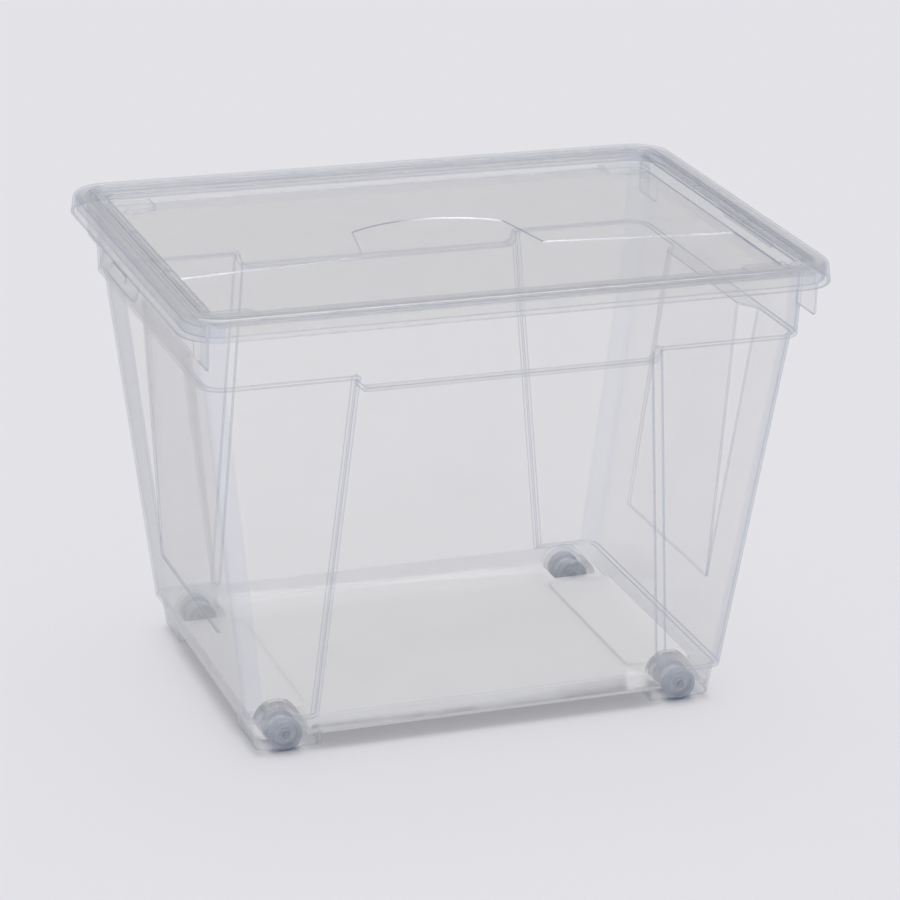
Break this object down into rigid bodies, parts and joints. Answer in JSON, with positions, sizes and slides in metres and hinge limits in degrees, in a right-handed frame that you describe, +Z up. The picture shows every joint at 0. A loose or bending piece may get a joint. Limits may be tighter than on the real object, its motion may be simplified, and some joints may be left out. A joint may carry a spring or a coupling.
{
  "type": "storage bin",
  "caption": "Clear tapered storage tub on small rollers in its corner feet, with a lift-off lid whose recessed top takes the feet of a bin stacked above.",
  "frame": {"origin": "on the floor under the middle of the bin", "axes": "+X along the long side, +Y along the short side towards the back, +Z up out of the mouth"},
  "size_m": [0.5678, 0.396, 0.402],
  "materials": {
    "tub_plastic": "clear moulded polypropylene, glossy",
    "lid_plastic": "clear moulded polypropylene, glossy",
    "roller_plastic": "translucent blue-grey moulded plastic",
    "axle_plastic": "smooth moulded plastic pin"
  },
  "bodies": {
    "tub": {"tub": "tub_plastic", "axle_front_right": "axle_plastic", "axle_front_left": "axle_plastic", "axle_back_right": "axle_plastic", "axle_back_left": "axle_plastic"},
    "lid": {"lid": "lid_plastic"},
    "roller_front_right": {"roller_front_right": "roller_plastic"},
    "roller_front_left": {"roller_front_left": "roller_plastic"},
    "roller_back_right": {"roller_back_right": "roller_plastic"},
    "roller_back_left": {"roller_back_left": "roller_plastic"}
  },
  "joints": [
    {"name": "lid_lift", "type": "slide", "parent": "tub", "child": "lid", "axis": [0, 0, 1], "range_m": [0, 0.15]},
    {"name": "roller_front_right_spin", "type": "hinge", "parent": "tub", "child": "roller_front_right", "pos_m": [0.178, -0.12575, 0.014], "axis": [0, 1, 0], "continuous": true},
    {"name": "roller_front_left_spin", "type": "hinge", "parent": "tub", "child": "roller_front_left", "pos_m": [-0.178, -0.12575, 0.014], "axis": [0, 1, 0], "continuous": true},
    {"name": "roller_back_right_spin", "type": "hinge", "parent": "tub", "child": "roller_back_right", "pos_m": [0.178, 0.12575, 0.014], "axis": [0, 1, 0], "continuous": true},
    {"name": "roller_back_left_spin", "type": "hinge", "parent": "tub", "child": "roller_back_left", "pos_m": [-0.178, 0.12575, 0.014], "axis": [0, 1, 0], "continuous": true}
  ]
}
